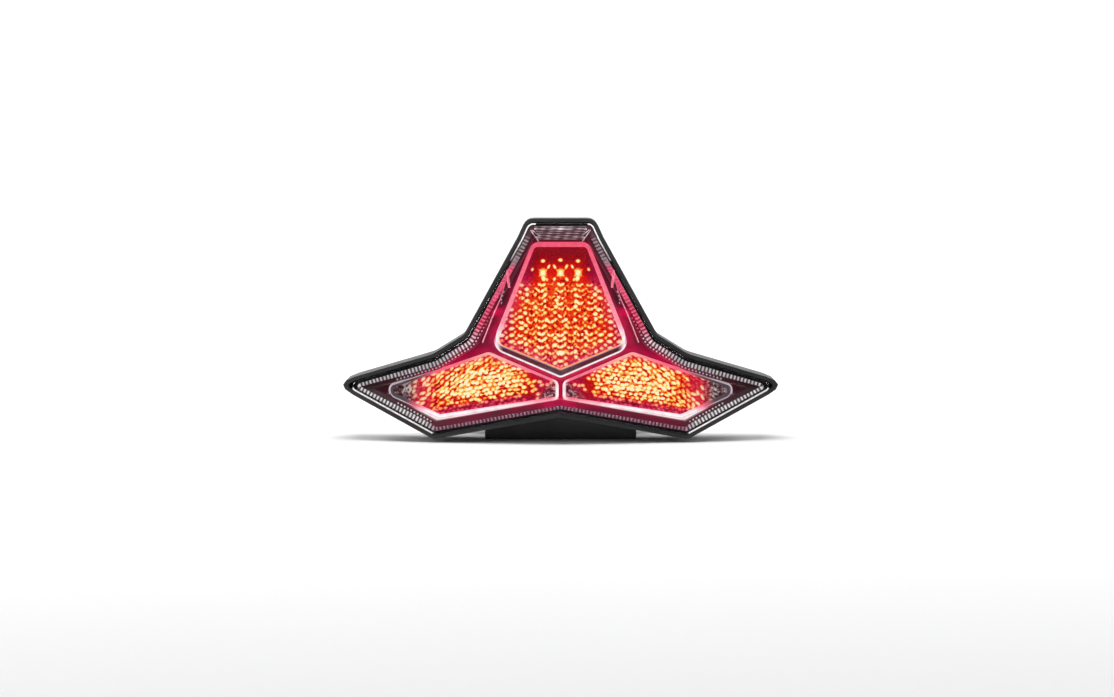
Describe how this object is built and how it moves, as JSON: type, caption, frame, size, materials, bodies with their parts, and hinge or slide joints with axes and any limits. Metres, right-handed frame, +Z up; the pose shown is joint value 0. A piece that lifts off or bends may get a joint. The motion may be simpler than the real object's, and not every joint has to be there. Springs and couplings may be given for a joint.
{
  "type": "tail light",
  "caption": "Three-lobed motorcycle LED tail light: clear outer lens over a plum bezel and red pods, in a black housing with driver chamber, ears and connector inlet.",
  "frame": {"origin": "centre of the flat base pad under the driver chamber", "axes": "+X to the vehicle's right, along the lamp's width; +Y forward, so the lit side faces -Y; +Z up"},
  "size_m": [0.2304, 0.1509, 0.1152],
  "materials": {
    "clear_lens": "clear polycarbonate, glossy, moulded ribs",
    "plum_bezel": "dark plum, glossy, lit crimson by the pods",
    "red_pod_lens": "clear red with a pale lit rim",
    "lit_reflector": "faceted, lit red and yellow",
    "led_package": "lit",
    "circuit_board": "green solder mask",
    "black_housing": "black, fine moulded texture",
    "black_plastic": "black, satin",
    "rubber": "matt black",
    "zinc_steel": "zinc plated",
    "tinned_terminal": "tinned brass",
    "capacitor_can": "satin",
    "chip_black": "moulded epoxy",
    "lead_jacket": "soft jacket",
    "vent_membrane": "white membrane"
  },
  "bodies": {
    "root": {"bezel": "plum_bezel", "capacitor": "capacitor_can", "centre_board_screw_1": "zinc_steel", "centre_board_screw_2": "zinc_steel", "centre_led_1": "led_package", "centre_led_2": "led_package", "centre_led_3": "led_package", "centre_led_4": "led_package", "centre_led_5": "led_package", "centre_led_6": "led_package", "centre_led_board": "circuit_board", "centre_pod_lens": "red_pod_lens", "centre_reflector": "lit_reflector", "connector_seal": "rubber", "connector_shell": "black_plastic", "driver_board": "circuit_board", "driver_screw_1": "zinc_steel", "driver_screw_2": "zinc_steel", "inductor": "chip_black", "lead_centre": "lead_jacket", "lead_connector": "lead_jacket", "lead_left": "lead_jacket", "lead_right": "lead_jacket", "left_board_screw_1": "zinc_steel", "left_board_screw_2": "zinc_steel", "left_collar": "zinc_steel", "left_grommet": "rubber", "left_led_1": "led_package", "left_led_2": "led_package", "left_led_3": "led_package", "left_led_4": "led_package", "left_led_board": "circuit_board", "left_pod_lens": "red_pod_lens", "left_reflector": "lit_reflector", "lens_seal": "rubber", "outer_lens": "clear_lens", "rear_housing": "black_housing", "regulator": "chip_black", "right_board_screw_1": "zinc_steel", "right_board_screw_2": "zinc_steel", "right_collar": "zinc_steel", "right_grommet": "rubber", "right_led_1": "led_package", "right_led_2": "led_package", "right_led_3": "led_package", "right_led_4": "led_package", "right_led_board": "circuit_board", "right_pod_lens": "red_pod_lens", "right_reflector": "lit_reflector", "terminal_1": "tinned_terminal", "terminal_2": "tinned_terminal", "terminal_3": "tinned_terminal", "terminal_4": "tinned_terminal", "vent_cap": "black_plastic", "vent_membrane": "vent_membrane"}
  },
  "joints": []
}
